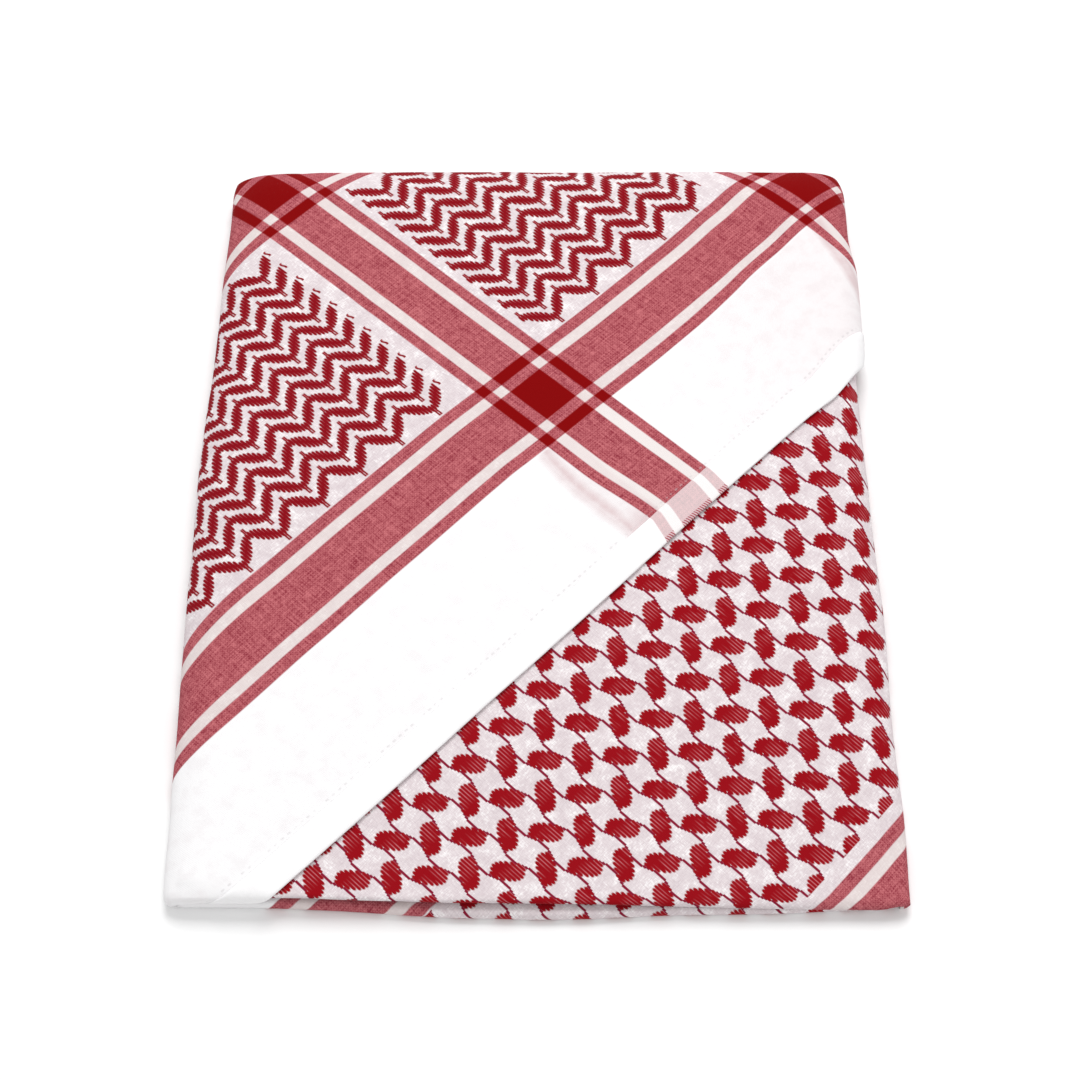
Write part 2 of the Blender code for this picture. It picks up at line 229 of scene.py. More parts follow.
class Row:
    """The cloth at one depth: its lengths from the middle, and the x and z that they reach."""

    def __init__(self, y):
        points = section(y)
        lengths = [0.0]
        for before, here in zip(points, points[1:]):
            lengths.append(lengths[-1] + math.dist(before, here))
        self.x = [p[0] for p in points]
        self.z = [p[1] for p in points]
        middle = read(self.x[FOOT_STEPS:-FOOT_STEPS], lengths[FOOT_STEPS:-FOOT_STEPS], 0.0)
        self.a = [length - middle for length in lengths]
        self.foot = (self.a[0], self.a[-1])
        self.widest = (self.a[FOOT_STEPS], self.a[-1 - FOOT_STEPS])
        self.level = (self.a[FOOT_STEPS + SIDE_STEPS], self.a[-1 - FOOT_STEPS - SIDE_STEPS])


class Wrap:
    """The topmost face as cloth: a runs round the section from the middle, b runs front to back."""

    def __init__(self):
        self.rows = {}
        path = [(0.0, 0.0)]
        for side in (-1, 1):
            length, before = 0.0, (0.0, thickness(0, 0))
            for step in range(1, PATH_STEPS + 1):
                y = side * DEPTH / 2 * step / PATH_STEPS
                here = (y, thickness(0, y))
                length += math.dist(before, here)
                path.append((side * length, y))
                before = here
        path.sort()
        self.path_b = [b for b, y in path]
        self.path_y = [y for b, y in path]
        self.front, self.back = self.path_b[0], self.path_b[-1]

    def depth(self, b):
        return read(self.path_b, self.path_y, b)

    def row(self, b):
        key = round(b, 6)
        if key not in self.rows:
            self.rows[key] = Row(self.depth(b))
        return self.rows[key]

    def place(self, a, b):
        row = self.row(b)
        return Vector((read(row.a, row.x, a), self.depth(b), read(row.a, row.z, a)))

    def frame(self, a, b):
        """The point, the cloth's direction to the back and its outward normal."""
        low, high = self.row(b).foot
        left, right = max(low, a - NORMAL_STEP), min(high, a + NORMAL_STEP)
        ahead, behind = max(self.front, b - NORMAL_STEP), min(self.back, b + NORMAL_STEP)
        across = self.place(right, b) - self.place(left, b)
        along = self.place(a, behind) - self.place(a, ahead)
        return self.place(a, b), along.normalized(), across.cross(along).normalized()

    def fitted(self, a, b):
        """A column of the middle row, moved to the same place between the feet of row b."""
        row, middle = self.row(b), self.row(0)
        if a < middle.level[0]:
            share = (a - middle.foot[0]) / (middle.level[0] - middle.foot[0])
            return mix(row.foot[0], row.level[0], share)
        if a > middle.level[1]:
            share = (a - middle.level[1]) / (middle.foot[1] - middle.level[1])
            return mix(row.level[1], row.foot[1], share)
        share = (a - middle.level[0]) / (middle.level[1] - middle.level[0])
        return mix(row.level[0], row.level[1], share)

    def right_shift(self, a, b):
        """On the right side the lower panel is the outer turn, so every layer lies one layer further out."""
        row = self.row(b)
        return LAYER * ease((a - row.level[1]) / (row.widest[1] - row.level[1]))

    def left_shift(self, a, b):
        """The lower panel ends before the left side's bend, and the folds inside fill its place there."""
        row = self.row(b)
        return LAYER * (1 - ease((a - row.widest[0]) / (row.level[0] - row.widest[0])))


WRAP = Wrap()
MIDDLE_ROW = WRAP.row(0)


# The front fold draws in to the left, comes out to the right and goes in at the side's bend: where
# each begins, and over how long a run
FRONT_LEFT_FROM, FRONT_LEFT_OVER = -20 * MM, 75 * MM
FRONT_RIGHT_FROM, FRONT_RIGHT_OVER = -20 * MM, 120 * MM
SIDE_IN = 3.6 * MM
SIDE_FROM, SIDE_OVER = 117 * MM, 15 * MM
BACK_LEFT_FROM, BACK_LEFT_OVER = -84 * MM, 24 * MM


def from_back_left(a):
    """0 on the open back edge, 1 at the back left corner."""
    return (BACK_LEFT_FROM - a) / BACK_LEFT_OVER


class Fold:
    """Folds at the front and back edges: cloth past one turns down in a round and runs back under.

    Each fold has its radius at the left and at the right, and how far it stays behind the solids' edge."""

    def __init__(
        self, front, back, front_in=0.0, back_in=0.0, left_in=0.0, corner_in=0.0, right_out=0.0,
        change=(-130 * MM, -95 * MM), uneven=0.0, seed=0.0,
    ):
        self.front, self.back = front, back
        self.right_out = right_out
        self.front_in, self.back_in = front_in, back_in
        self.left_in, self.corner_in = left_in, corner_in
        self.change = change
        self.uneven, self.seed = uneven, seed

    def radius(self, a, sizes):
        start, end = self.change
        return mix(sizes[0], sizes[1], ease((a - start) / (end - start)))

    def stay(self, a, side):
        """How much further in the front or back fold lies at this column."""
        if side < 0:
            inwards = self.left_in * ease((FRONT_LEFT_FROM - a) / FRONT_LEFT_OVER)
            inwards -= self.right_out * ease((a - FRONT_RIGHT_FROM) / FRONT_RIGHT_OVER)
            inwards += SIDE_IN * ease((a - SIDE_FROM) / SIDE_OVER)
        else:
            inwards = self.corner_in * ease(from_back_left(a))
        return inwards + self.uneven * noise.noise(Vector((a * 22, side * 3.1, self.seed)))

    def place(self, a, b, depth):
        """The point of the cloth that far under the topmost face, over the edges' rounds too."""
        front_round, back_round = self.radius(a, self.front), self.radius(a, self.back)
        first = WRAP.front + self.front_in + front_round + self.stay(a, -1)
        last = WRAP.back - self.back_in - back_round - self.stay(a, 1)
        if b < first:
            return self.turned(a, first, first - b, depth, front_round, -1)
        if b > last:
            return self.turned(a, last, b - last, depth, back_round, 1)
        point, along, normal = WRAP.frame(a, b)
        return point - normal * depth

    def turned(self, a, edge, past, depth, radius, side):
        point, along, normal = WRAP.frame(a, edge)
        out = along * side
        angle = min(past / radius, math.pi)
        back = past - math.pi * radius
        if back > 0:
            # The return leg lies against the cloth above it
            point, along, normal = WRAP.frame(a, edge - side * back)
            return point - normal * (depth + 2 * radius)
        point = point - normal * depth
        return point + out * radius * math.sin(angle) - normal * radius * (1 - math.cos(angle))


class Laid:
    """How a stretch of cloth lies on the bundle.

    The pattern's origin, which way its s and t axes run, how long a pitch is along each, and how far
    the stripes sway from a straight line."""

    def __init__(self, x, y, s_angle, t_angle, s_pitch, t_pitch, sway=()):
        self.x, self.y = x, y
        self.sway = sway
        self.s = (math.cos(math.radians(s_angle)) * s_pitch, math.sin(math.radians(s_angle)) * s_pitch)
        self.t = (math.cos(math.radians(t_angle)) * t_pitch, math.sin(math.radians(t_angle)) * t_pitch)
        self.size = self.s[0] * self.t[1] - self.s[1] * self.t[0]

    def cloth(self, a, b):
        """The pattern's (s, t), in pitches, at a point of the bundle."""
        a, b = a - self.x, b - self.y
        s = (a * self.t[1] - b * self.t[0]) / self.size
        t = (b * self.s[0] - a * self.s[1]) / self.size
        for (start, low), (end, high) in zip(self.sway, self.sway[1:]):
            if start <= s < end:
                t += mix(low, high, ease((s - start) / (end - start)))
        return s, t


# The outer flap's cloth, from the middle of its crossing bands, and the lower panel's
FLAP_SWAY = (
    (-16, 0.0), (-13, -0.08), (-9.5, -0.02), (-6.5, 0.03), (-3, 0.075), (0, 0.0),
    (3, -0.062), (6, -0.04), (8, 0.01), (9.5, 0.085), (14, 0.085),
)
FLAP_LAID = Laid(3.0 * MM, 43.6 * MM, 43.96, -41.62, 13.65 * MM, 13.33 * MM, FLAP_SWAY)
PANEL_LAID = Laid(43.3 * MM, -114.15 * MM, 46.8, -42.53, 13.47 * MM, 12.855 * MM)
# Near the hem the crossing band draws together, and the hem itself slants; at the back right it sags
HEM_FROM = 5.1
BAND_DRAWN = 0.17
HEM_SLANT = -0.14
BAND_SAG = 0.14


class Creases:
    """Soft ridges and troughs given one by one, each from one point to another, with a width and height."""

    def __init__(self, runs, rumple=0.0, scale=30.0, seed=0.0):
        self.runs = runs
        self.rumple, self.scale, self.seed = rumple, scale, seed

    def lift(self, a, b):
        height = self.rumple * noise.noise(Vector((a * self.scale, b * self.scale, self.seed)))
        finer = Vector((a * self.scale * 3, b * self.scale * 2.3, self.seed + 5))
        height += 0.4 * self.rumple * noise.noise(finer)
        for (x0, y0), (x1, y1), width, ridge in self.runs:
            dx, dy = x1 - x0, y1 - y0
            length = math.hypot(dx, dy)
            share = ((a - x0) * dx + (b - y0) * dy) / length**2
            if -0.3 < share < 1.3:
                off = ((a - x0) * dy - (b - y0) * dx) / length
                off += width * noise.noise(Vector((share * 3, x0 * 40, self.seed)))
                fade = ease((share + 0.3) / 0.35) * ease((1.3 - share) / 0.35)
                height += ridge * fade * math.exp(-((off / width) ** 2))
        return height


def fine_columns(left, right, step):
    """Columns of the middle row, closer together round the sides' bends."""
    stops = [left]
    while stops[-1] < right:
        at = stops[-1]
        bend = MIDDLE_ROW.level[0] < at < MIDDLE_ROW.level[1]
        stops.append(at + (step if bend else step * 0.5))
    stops[-1] = right
    if stops[-1] - stops[-2] < step * 0.2:
        stops.pop(-2)
    return stops


def fine_rows(front, back, step, close=0.5):
    """Rows from front to back, closer together at both ends."""
    stops = [front]
    while stops[-1] < back:
        at = stops[-1]
        near = at < WRAP.front + 5 * MM or at > WRAP.back - BACK_ROUND
        stops.append(at + (step * close if near else step))
    stops[-1] = back
    if stops[-1] - stops[-2] < step * 0.1:
        stops.pop(-2)
    return stops


def from_hem(a, b):
    """How far along the hem's line and how far inside it a point of the flat flap is, in millimetres."""
    return Vector((a + b, b - WRAP.front - a + HEM_AT_FRONT, 0)) / math.sqrt(2) / MM


def make_cloth(name, columns, rows, place, cloth, cuts=(), hem=None):
    """A flat grid of the cloth, cut along straight lines, given its pattern's place and laid on."""
    bm = bmesh.new()
    bmesh.ops.create_grid(bm, x_segments=len(columns) - 1, y_segments=len(rows) - 1, size=1)
    for v in bm.verts:
        column = round((v.co.x + 1) / 2 * (len(columns) - 1))
        row = round((v.co.y + 1) / 2 * (len(rows) - 1))
        v.co = (columns[column], rows[row], 0)
    for point, outwards in cuts:
        geometry = bm.verts[:] + bm.edges[:] + bm.faces[:]
        bmesh.ops.bisect_plane(
            bm, geom=geometry, dist=1e-5, plane_co=point, plane_no=outwards, clear_outer=True
        )
    bmesh.ops.remove_doubles(bm, verts=bm.verts[:], dist=0.15 * MM)
    layer = bm.loops.layers.uv.new("cloth")
    for face in bm.faces:
        for loop in face.loops:
            loop[layer].uv = cloth(loop.vert.co.x, loop.vert.co.y)
    if hem:
        layer = bm.verts.layers.float_vector.new("hem")
        for v in bm.verts:
            v[layer] = hem(v.co.x, v.co.y)
    for v in bm.verts:
        v.co = place(v.co.x, v.co.y)
        v.co.z = max(v.co.z, ABOVE_FLOOR)
    mesh = bpy.data.meshes.new(name)
    bm.to_mesh(mesh)
    bm.free()
    mesh.shade_smooth()
    made = bpy.data.objects.new(name, mesh)
    bpy.context.scene.collection.objects.link(made)
    return made


def add_wall(piece, thick):
    wall = piece.modifiers.new("Wall", "SOLIDIFY")
    wall.thickness = thick
    wall.offset = -1
    wall.use_even_offset = False


def hem_cut(inwards=0.0):
    """The line of the hem, or one beside it, in cloth coordinates."""
    across = Vector((1, -1, 0)).normalized()
    point = Vector((HEM_AT_FRONT, WRAP.front, 0)) - across * inwards
    return point, across


def drawn(a, b):
    """The cloth near the hem, moved as its edge is drawn in at the middle and let out at the ends."""
    run = (a + b) / math.sqrt(2)
    inside = (b - WRAP.front - a + HEM_AT_FRONT) / math.sqrt(2)
    out = HEM_DRAWN + HEM_OUT * min(1.3, ((run - HEM_MIDDLE) / HEM_HALF) ** 2)
    out -= HEM_LIFTED * ease((run - LIFTED_FROM) / LIFTED_OVER)
    out *= 1 - ease(inside / HEM_GIVE)
    return a + out / math.sqrt(2), b - out / math.sqrt(2)


# Nodes, in short calls
class Graph:
    """Adds linked nodes to a material's or a group's tree."""

    def __init__(self, tree):
        self.tree = tree

    def add(self, kind, **settings):
        node = self.tree.nodes.new(kind)
        for key, value in settings.items():
            setattr(node, key, value)
        return node

    def feed(self, socket, value):
        if isinstance(value, bpy.types.NodeSocket):
            self.tree.links.new(value, socket)
        else:
            socket.default_value = value

    def math(self, operation, *values):
        node = self.add("ShaderNodeMath", operation=operation)
        for socket, value in zip(node.inputs, values):
            self.feed(socket, value)
        return node.outputs[0]

    def plus(self, a, b):
        return self.math("ADD", a, b)

    def minus(self, a, b):
        return self.math("SUBTRACT", a, b)

    def times(self, a, b):
        return self.math("MULTIPLY", a, b)

    def over(self, a, b):
        return self.math("DIVIDE", a, b)

    def most(self, a, b):
        return self.math("MAXIMUM", a, b)

    def least(self, a, b):
        return self.math("MINIMUM", a, b)

    def size(self, a):
        return self.math("ABSOLUTE", a)

    def below(self, value, limit, soft=0.02):
        """1 where value is under the limit, 0 over it, with a soft edge."""
        span = self.over(self.minus(limit, value), soft)
        node = self.add("ShaderNodeClamp")
        self.feed(node.inputs["Value"], self.plus(span, 0.5))
        return node.outputs[0]

    def over_limit(self, value, limit, soft=0.02):
        return self.minus(1.0, self.below(value, limit, soft))

    def between(self, value, low, high, soft=0.02):
        return self.times(self.below(value, high, soft), self.over_limit(value, low, soft))

    def blend(self, share, low, high):
        node = self.add("ShaderNodeMix", data_type="RGBA")
        self.feed(node.inputs[0], share)
        self.feed(node.inputs[6], low)
        self.feed(node.inputs[7], high)
        return node.outputs[2]

    def noise(self, vector, scale, detail=2.0, rough=0.5):
        node = self.add("ShaderNodeTexNoise")
        self.feed(node.inputs["Vector"], vector)
        self.feed(node.inputs["Scale"], scale)
        self.feed(node.inputs["Detail"], detail)
        self.feed(node.inputs["Roughness"], rough)
        return node.outputs["Fac"]

    def stretch(self, vector, x, y, turn=0.0):
        node = self.add("ShaderNodeMapping")
        self.feed(node.inputs["Vector"], vector)
        node.inputs["Rotation"].default_value = (0, 0, turn)
        node.inputs["Scale"].default_value = (x, y, 1)
        return node.outputs[0]

    def parts(self, vector):
        node = self.add("ShaderNodeSeparateXYZ")
        self.feed(node.inputs[0], vector)
        return node.outputs[0], node.outputs[1]

    def group(self, tree, **values):
        node = self.add("ShaderNodeGroup", node_tree=tree)
        for key, value in values.items():
            self.feed(node.inputs[key], value)
        return node.outputs


def start_group(name, inputs, outputs):
    """An empty node group with named sockets, and its graph, input sockets and output sockets."""
    tree = bpy.data.node_groups.new(name, "ShaderNodeTree")
    for key, kind in inputs:
        tree.interface.new_socket(key, in_out="INPUT", socket_type=kind)
    for key in outputs:
        tree.interface.new_socket(key, in_out="OUTPUT", socket_type="NodeSocketFloat")
    graph = Graph(tree)
    taken = graph.add("NodeGroupInput").outputs
    given = graph.add("NodeGroupOutput").inputs
    return tree, graph, taken, given


FLOAT = "NodeSocketFloat"
VECTOR = "NodeSocketVector"
# In pitches: the space between two threads; in repeats: a column of the stepped figures
THREAD = 0.0443
COLUMNS = 16
COLUMN = 1 / COLUMNS


def stripe_group():
    """Red stripes of a pair of bands: a wide stripe with a thin one on each side, at two places."""
    inputs = [(key, FLOAT) for key in ("Across", "Outer", "Inner", "Wide", "From", "To")]
    tree, g, taken, given = start_group("stripe_bands", inputs, ["Red", "Inside"])
    outer = g.size(g.minus(taken["Across"], taken["Outer"]))
    inner = g.size(g.minus(taken["Across"], taken["Inner"]))
    off = g.least(outer, inner)
    wide = g.below(off, taken["Wide"], 0.035)
    thin = g.between(off, taken["From"], taken["To"], 0.035)
    g.feed(given["Red"], g.most(wide, thin))
    g.feed(given["Inside"], g.below(off, taken["From"], 0.035))
    return tree


def weave_group():
    """Plain weave: threads along both axes, slubs, and how far each thread stands up."""
    outputs = ["Height", "Warp", "Slub", "Speck", "Patch"]
    tree, g, taken, given = start_group("plain_weave", [("Cloth", VECTOR)], outputs)
    s, t = g.parts(taken["Cloth"])
    along = g.math("SINE", g.times(s, math.pi / THREAD))
    across = g.math("SINE", g.times(t, math.pi / THREAD))
    over = g.times(along, across)
    g.feed(given["Warp"], g.plus(g.times(over, 0.5), 0.5))
    g.feed(given["Height"], g.size(over))
    slub_s = g.noise(g.stretch(taken["Cloth"], 0.9, 14.0), 1.6, 3.0, 0.6)
    slub_t = g.noise(g.stretch(taken["Cloth"], 14.0, 0.9), 1.6, 3.0, 0.6)
    g.feed(given["Slub"], g.minus(g.plus(slub_s, slub_t), 1.0))
    # Short slanting streaks where threads cross unevenly, and soft patches where the cloth is closer
    streak = g.noise(g.stretch(taken["Cloth"], 6.0, 26.0, math.radians(45)), 1.0, 2.0, 0.6)
    counter = g.noise(g.stretch(taken["Cloth"], 26.0, 6.0, math.radians(45)), 1.0, 2.0, 0.6)
    g.feed(given["Speck"], g.minus(g.plus(streak, counter), 1.0))
    g.feed(given["Patch"], g.noise(taken["Cloth"], 2.1, 3.0, 0.6))
    return tree


def net_group():
    """The field's net: slanting ovals in two directions, joined by thin waving threads."""
    inputs = [("Cloth", VECTOR), ("Repeat s", FLOAT), ("Repeat t", FLOAT)]
    tree, g, taken, given = start_group("net_of_ovals", inputs, ["Red", "Thread", "Line"])
    s, t = g.parts(taken["Cloth"])
    x = g.over(s, taken["Repeat s"])
    y = g.over(t, taken["Repeat t"])
    ovals, lines = None, None
    broken = g.noise(g.stretch(taken["Cloth"], 6.0, 1.2), 1.0, 2.0, 0.5)
    for turn, shift in ((1, 0.0), (-1, 0.5)):
        # Counted in columns, so that the ovals have stepped edges
        u = g.minus(g.math("FRACT", g.plus(x, 0.5 - shift)), 0.5)
        column = g.times(g.plus(g.math("FLOOR", g.times(u, COLUMNS)), 0.5), COLUMN * turn)
        v = g.minus(g.math("FRACT", g.plus(y, 0.5 - shift)), 0.5)
        edge = g.size(g.minus(g.math("FRACT", g.times(u, COLUMNS)), 0.5))
        notch = g.times(g.over_limit(edge, 0.36, 0.2), 0.030)
        edges_found = []
        for way in (1, -1):
            past = g.size(g.plus(g.times(column, way), 0.09))
            slope = g.times(g.math("POWER", past, 1.8), 2.75)
            edges_found.append(g.minus(g.minus(g.plus(slope, notch), 0.314), g.times(v, way)))
        inside = g.times(g.below(edges_found[0], 0.0, 0.035), g.below(edges_found[1], 0.0, 0.035))
        inside = g.times(inside, g.below(g.size(column), 0.25, 0.002))
        side = g.over_limit(g.times(v, turn), -0.02, 0.2)
        line = g.times(g.over_limit(edge, 0.36, 0.16), g.times(inside, side))
        line = g.times(line, g.over_limit(broken, 0.47, 0.16))
        ovals = inside if ovals is None else g.most(ovals, inside)
        lines = line if lines is None else g.most(lines, line)
    # The thin threads between the columns of ovals, which swing once in a repeat
    threads = None
    for place, phase in ((0.25, 0.39), (-0.25, 0.13)):
        swing = g.times(g.math("COSINE", g.times(g.minus(y, phase), 2 * math.pi)), 0.056)
        stepped = g.over(g.math("ROUND", g.times(swing, 44)), 44.0)
        u = g.minus(g.math("FRACT", g.plus(g.minus(x, place), 0.5)), 0.5)
        off = g.size(g.minus(u, stepped))
        thread = g.below(off, 0.0245, 0.012)
        threads = thread if threads is None else g.most(threads, thread)
    g.feed(given["Red"], ovals)
    g.feed(given["Thread"], threads)
    g.feed(given["Line"], lines)
    return tree


def leaf_group():
    """The border's rows of slanting leaves in a zigzag, with a looped stem at each turn."""
    keys = ("Start s", "Start t", "Low s", "High s", "First row", "Tail s")
    inputs = [("Cloth", VECTOR)] + [(key, FLOAT) for key in keys]
    tree, g, taken, given = start_group("zigzag_leaves", inputs, ["Red", "Line"])
    s, t = g.parts(taken["Cloth"])
    period, row, rise = 1.385, 0.685, 0.63
    x = g.over(g.minus(s, taken["Start s"]), period)
    u = g.minus(g.math("FRACT", g.plus(x, 0.5)), 0.5)
    column = g.times(g.plus(g.math("FLOOR", g.times(u, COLUMNS)), 0.5), COLUMN)
    share = g.times(g.size(column), 2.0)
    down = g.minus(t, taken["Start t"])
    rows = g.over(g.plus(down, g.times(share, rise)), row)
    nearest = g.math("ROUND", rows)
    off = g.size(g.times(g.minus(rows, nearest), row))
    edge = g.size(g.minus(g.math("FRACT", g.times(u, COLUMNS)), 0.5))
    notch = g.times(g.over_limit(edge, 0.36, 0.2), 0.045)
    bulge = g.most(g.math("SINE", g.times(share, math.pi)), 0.0)
    # The leaves that fall to the right are the fuller ones
    falling = g.times(g.below(column, 0.0, 0.01), 0.020)
    half = g.minus(g.plus(g.plus(0.086, falling), g.times(g.math("POWER", bulge, 0.8), 0.152)), notch)
    there = g.times(g.below(nearest, 0.5, 0.1), g.over_limit(nearest, g.minus(taken["First row"], 0.5), 0.1))
    highest = g.times(taken["First row"], row)
    leaf = g.times(g.below(off, half, 0.045), there)
    line = g.times(g.over_limit(edge, 0.36, 0.16), g.over_limit(off, g.times(half, 0.5), 0.10))
    # Stems: a loop under each lower turn, a cap over each upper turn, a thin tail at the last leaf
    under = g.times(g.math("FRACT", g.over(down, row)), row)
    first = g.below(down, 0.40, 0.01)
    stem_s = g.times(g.size(u), period)
    stem = g.times(g.below(stem_s, 0.060, 0.02), g.between(under, 0.04, 0.30, 0.04))
    stem = g.times(stem, g.over_limit(down, highest, 0.02))
    hole = g.times(g.below(stem_s, 0.010, 0.02), g.between(under, 0.16, 0.25, 0.05))
    hole = g.times(hole, 0.75)
    top_s = g.minus(0.5 * period, stem_s)
    above = g.minus(0.0, g.plus(down, rise))
    over_turn = g.times(g.math("FRACT", g.over(above, row)), row)
    cap = g.times(g.below(top_s, 0.050, 0.02), g.between(over_turn, 0.05, 0.26, 0.04))
    cap = g.times(cap, g.between(above, 0.0, g.minus(0.35, highest), 0.01))
    tail_at = g.times(g.math("FRACT", g.over(g.plus(down, 0.76), row)), row)
    bent = g.times(g.math("SINE", g.times(tail_at, 22.0)), 0.025)
    tail = g.below(g.size(g.minus(g.plus(s, bent), taken["Tail s"])), 0.036, 0.02)
    tail = g.times(tail, g.below(tail_at, 0.26, 0.03))
    tail = g.times(tail, g.between(down, g.minus(highest, 0.95), -0.45, 0.02))
    stems = g.minus(g.most(g.times(stem, first), cap), g.times(hole, first))
    inside = g.between(s, taken["Low s"], taken["High s"], 0.02)
    g.feed(given["Red"], g.most(g.times(g.most(leaf, stems), inside), tail))
    g.feed(given["Line"], line)
    return tree


GROUPS = {}


def groups():
    """The shared patterns, built once."""
    if not GROUPS:
        GROUPS.update(stripes=stripe_group(), weave=weave_group(), net=net_group(), leaves=leaf_group())
    return GROUPS


# Where the bands' middles are, in pitches from the crossing of the outer ones
BANDS = {"along": (0.0, -11.02), "across": (10.68, 0.0)}
# Their stripes, from the middle out: the wide one's half, and both edges of the thin ones
LONG_STRIPES = {"Wide": 0.70, "From": 1.03, "To": 1.39}
CROSS_STRIPES = {"Wide": 0.56, "From": 0.89, "To": 1.21}
# The net ends here beside the inner bands, and the plain margin starts here beside the outer one
NET_TO = (-12.45, -1.6)
MARGIN_FROM = 1.25
PLY_WHITE_FROM = -9.62
NOWHERE = 60.0
# On the lower panel only the inner band along its front right corner shows
PANEL_LOOK = {
    "along": (6.61, NOWHERE), "across": (NOWHERE, NOWHERE), "leaves": False, "margin": False,
    "net_to": (4.85, 99.0),
}
# The runs of leaves on both sides of the crossing band; only the first ends in tails
LEAF_FIRST = {"Start t": -1.745, "First row": -10.0}
LEAF_RUNS = (
    {"Start s": -2.375, "Low s": -30.0, "High s": -1.78, "Tail s": -1.68},
    {"Start s": 2.23, "Low s": 1.45, "High s": 8.6, "Tail s": 90.0},
)


def paint(name):
    """A thread's colour, from the scene's settings."""
    return tuple(getattr(bpy.context.scene.headscarf_colours, name))


def hem_place(g):
    """How far along the hem and how far inside it the surface is, in millimetres."""
    return g.parts(g.add("ShaderNodeAttribute", attribute_name="hem").outputs["Vector"])


def ground_color(g, uv, t, weave, margin):
    """The white threads, uneven in tone, and the plain margin's brighter ones."""
    mottle = g.plus(g.times(weave["Patch"], 0.75), g.times(weave["Speck"], 0.55))
    color = g.blend(g.over_limit(mottle, 0.41, 0.42), paint("dusk"), paint("white"))
    color = g.blend(g.times(g.over_limit(mottle, 0.50, 0.16), 0.8), color, paint("close"))
    lengthways = g.noise(g.stretch(uv, 2.2, 24.0), 1.0, 3.0, 0.6)
    crossways = g.noise(g.stretch(uv, 24.0, 2.2), 1.0, 3.0, 0.6)
    fibre = g.over_limit(g.most(lengthways, crossways), 0.61, 0.16)
    color = g.blend(g.times(fibre, 0.38), color, paint("fibre"))
    if margin:
        patchy = g.times(g.over_limit(weave["Patch"], 0.57, 0.16), 0.14)
        bright = g.blend(patchy, paint("margin"), paint("dusk"))
        color = g.blend(g.over_limit(t, MARGIN_FROM, 0.05), color, bright)
    return color


def band_color(g, color, s, t, weave, along, across):
    """The bands' red stripes, deeper where they cross, with the masks of all and of the crossing ones."""
    made = groups()["stripes"]
    lengthways = g.group(made, Across=t, Outer=along[0], Inner=along[1], **LONG_STRIPES)
    crossways = g.group(made, Across=s, Outer=across[0], Inner=across[1], **CROSS_STRIPES)
    both = g.times(lengthways["Red"], crossways["Red"])
    either = g.minus(g.plus(lengthways["Red"], crossways["Red"]), both)
    in_band = g.most(lengthways["Inside"], crossways["Inside"])
    color = g.blend(g.times(in_band, 0.6), color, paint("cream"))
    weft = g.plus(g.times(g.minus(weave["Warp"], 0.5), 0.4), g.times(weave["Slub"], 1.6))
    weft = g.plus(weft, g.times(weave["Speck"], 1.15))
    stripe = g.blend(g.plus(weft, 0.5), paint("stripe_dark"), paint("stripe_light"))
    color = g.blend(either, color, stripe)
    return g.blend(both, color, paint("crossing")), either, crossways["Red"]


def show_through_and_shade(g, color, s, t, weave, either):
    """The ply below, faint through the plain margin beside the crossing band and in a line further right,
    and painted shade darkening the margin towards the back right.
    """
    in_margin = g.times(g.over_limit(t, 1.42, 0.1), g.below(t, 5.05, 0.1))
    veer = g.math("POWER", g.most(g.minus(t, 1.3), 0.01), 0.5)
    beside = g.plus(s, g.plus(g.times(veer, 0.28), 1.30))
    faint = g.between(beside, -0.21, 0.21, 0.22)
    wash = g.between(beside, 0.0, 1.0, 0.1)
    corner = g.times(g.between(beside, -0.2, 1.0, 0.1), g.over_limit(t, 4.60, 0.7))
    far = g.between(g.plus(s, g.times(t, 0.355)), 10.08, 10.52, 0.2)
    # Painted shade: a broad wash that darkens the margin towards the back right, standing in for the light
    # falling off there
    right = g.over_limit(s, 4.0, 7.0)
    lines = g.times(g.most(g.most(faint, far), corner), 0.52)
    ply_and_shade = g.plus(lines, g.plus(g.times(wash, 0.26), g.times(right, 0.24)))
    mottled = g.least(g.plus(0.45, weave["Patch"]), 1.0)
    ply_and_shade = g.times(g.times(in_margin, ply_and_shade), mottled)
    return g.blend(g.times(ply_and_shade, g.minus(1.0, either)), color, paint("shade"))


def stitch_color(g, color, weave):
    """A row of small stitches beside the hem, broken here and there."""
    run, inside = hem_place(g)
    dash = g.below(g.math("FRACT", g.over(run, 2.7)), 0.45, 0.2)
    dash = g.times(dash, g.between(inside, 12.1, 12.8, 0.3))
    dash = g.times(dash, g.over_limit(weave["Patch"], 0.46, 0.1))
    return g.blend(g.times(dash, 0.35), color, paint("stitch"))


def leaf_color(g, color, uv):
    """The zigzag leaves on both sides of the crossing band."""
    for run in LEAF_RUNS:
        leaf = g.group(groups()["leaves"], Cloth=uv, **LEAF_FIRST, **run)
        thread = g.blend(g.times(leaf["Line"], 0.42), paint("leaf"), paint("gap"))
        color = g.blend(leaf["Red"], color, thread)
    return color


def net_color(g, color, uv, zone):
    """The net of ovals and its thin joining threads."""
    repeat = math.sqrt(2)
    found = g.group(groups()["net"], Cloth=uv, **{"Repeat s": repeat, "Repeat t": repeat})
    color = g.blend(g.times(zone, found["Thread"]), color, paint("thread"))
    oval = g.blend(g.times(found["Line"], 0.65), paint("oval"), paint("gap"))
    return g.blend(g.times(zone, found["Red"]), color, oval)


def oversewn_color(g, color, crossing):
    """Oversewing along the hem's edge, red where the red stripes meet it."""
    run, inside = hem_place(g)
    turn = g.math("FRACT", g.over(g.plus(run, g.times(inside, 0.4)), 1.05))
    sewn = g.below(g.size(g.minus(turn, 0.5)), 0.22, 0.2)
    sewn = g.times(g.times(sewn, g.below(inside, 1.6, 0.3)), crossing)
    return g.blend(g.times(sewn, 0.95), color, paint("oversewing"))


